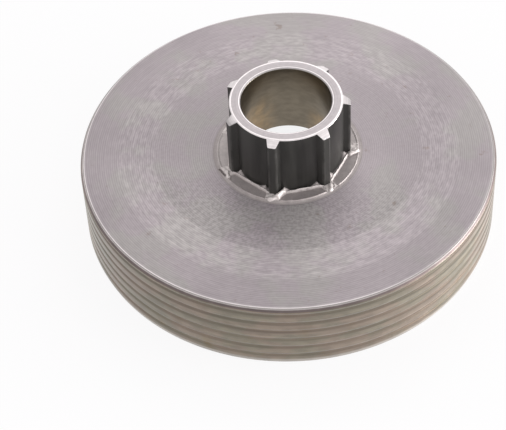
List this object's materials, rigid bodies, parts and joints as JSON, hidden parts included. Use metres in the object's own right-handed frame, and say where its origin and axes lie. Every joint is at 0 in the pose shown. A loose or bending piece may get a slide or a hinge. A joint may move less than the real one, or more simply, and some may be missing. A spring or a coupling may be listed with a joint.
{
  "type": "chainsaw clutch drum",
  "caption": "Turned steel clutch drum: a shallow cup with a grooved wall and a splined, bored hub staked into its web.",
  "frame": {"origin": "centre of the open rim's plane, on the drum's axis", "axes": "+Z runs along the axis from the open rim to the hub's end, and the first hub ridge is 1.5 degrees clockwise of +X"},
  "size_m": [0.0704, 0.0704, 0.0252],
  "materials": {
    "cup_steel": "fine turned face with concentric rings, coarser warm grey turned wall",
    "hub_steel": "black oxide flanks, bright faced end"
  },
  "bodies": {
    "root": {"drum_cup": "cup_steel", "splined_hub": "hub_steel"}
  },
  "joints": []
}
